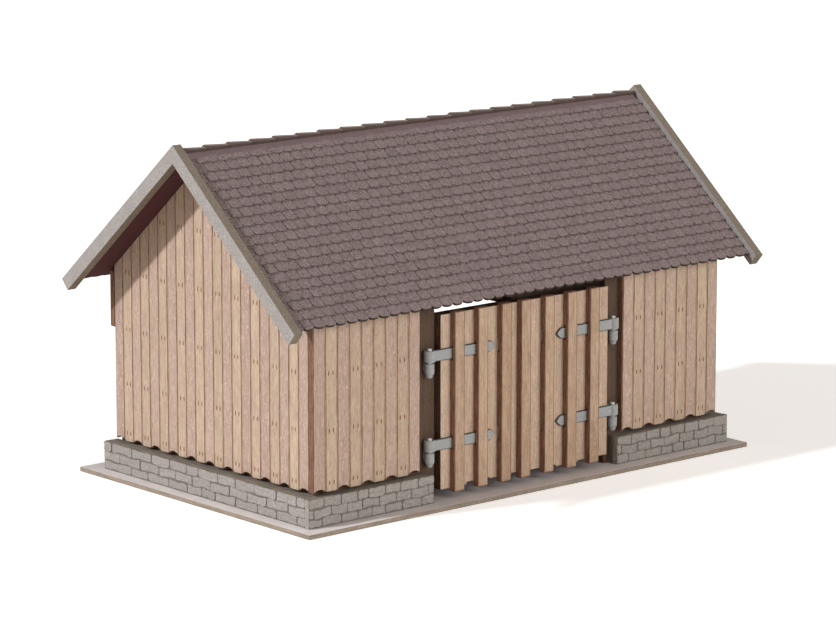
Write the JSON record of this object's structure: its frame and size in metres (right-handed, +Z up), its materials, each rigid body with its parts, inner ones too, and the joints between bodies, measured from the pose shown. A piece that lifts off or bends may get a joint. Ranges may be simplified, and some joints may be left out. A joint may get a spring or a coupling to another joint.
{
  "type": "model engine shed",
  "caption": "Boarded engine shed for a model railway, with a stone plinth, tiled gable roof, open rear side and double doors on strap hinges.",
  "frame": {"origin": "centre of the baseplate's underside", "axes": "+X along the ridge to the right gable, +Y to the open rear side, +Z up; the doors face -Y"},
  "size_m": [0.1042, 0.0618, 0.06],
  "materials": {
    "base_card": "matt grey card with brown cut edges",
    "stone_card": "matt grey card engraved as stone",
    "dark_card": "matt dark brown card",
    "wall_wood": "bare fine-grained wood, engraved boards",
    "door_wood": "bare fine-grained wood, dark cut edges",
    "roof_card": "matt dark red-brown card",
    "tile_card": "matt grey-brown card cut as plain tiles",
    "barge_card": "matt warm grey card with brown cut edges",
    "strap_card": "smooth blue-grey card"
  },
  "bodies": {
    "shed": {"baseplate": "base_card", "left_gable_plinth_packing": "stone_card", "left_gable_plinth_stones": "stone_card", "right_gable_plinth_packing": "stone_card", "right_gable_plinth_stones": "stone_card", "front_left_plinth_packing": "stone_card", "front_left_plinth_stones": "stone_card", "front_right_plinth_packing": "stone_card", "front_right_plinth_stones": "stone_card", "left_gable_core": "dark_card", "left_gable_boards": "wall_wood", "right_gable_core": "dark_card", "right_gable_boards": "wall_wood", "front_left_core": "dark_card", "front_left_boards": "wall_wood", "front_right_core": "dark_card", "front_right_boards": "wall_wood", "rear_lintel_core": "dark_card", "rear_lintel_boards": "wall_wood", "roof_truss": "dark_card", "front_roof_panel": "roof_card", "rear_roof_panel": "roof_card", "front_roof_tiles": "tile_card", "rear_roof_tiles": "tile_card", "ridge_tiles": "tile_card", "left_bargeboards": "barge_card", "right_bargeboards": "barge_card", "left_lower_pintle": "strap_card", "left_upper_pintle": "strap_card", "right_lower_pintle": "strap_card", "right_upper_pintle": "strap_card"},
    "left_leaf": {"left_leaf_backing": "dark_card", "left_leaf_boards": "door_wood", "left_leaf_cover_board_1": "door_wood", "left_leaf_cover_board_2": "door_wood", "left_leaf_cover_board_3": "door_wood", "left_leaf_cover_board_4": "door_wood", "left_lower_strap": "strap_card", "left_upper_strap": "strap_card"},
    "right_leaf": {"right_leaf_backing": "dark_card", "right_leaf_boards": "door_wood", "right_leaf_cover_board_1": "door_wood", "right_leaf_cover_board_2": "door_wood", "right_leaf_cover_board_3": "door_wood", "right_lower_strap": "strap_card", "right_upper_strap": "strap_card"}
  },
  "joints": [
    {"name": "left_door_swing", "type": "hinge", "parent": "shed", "child": "left_leaf", "pos_m": [-0.02055, -0.0267, 0.01025], "axis": [0, 0, -1], "range_deg": [0, 90]},
    {"name": "right_door_swing", "type": "hinge", "parent": "shed", "child": "right_leaf", "pos_m": [0.02055, -0.0267, 0.01025], "axis": [0, 0, 1], "range_deg": [0, 90]}
  ]
}
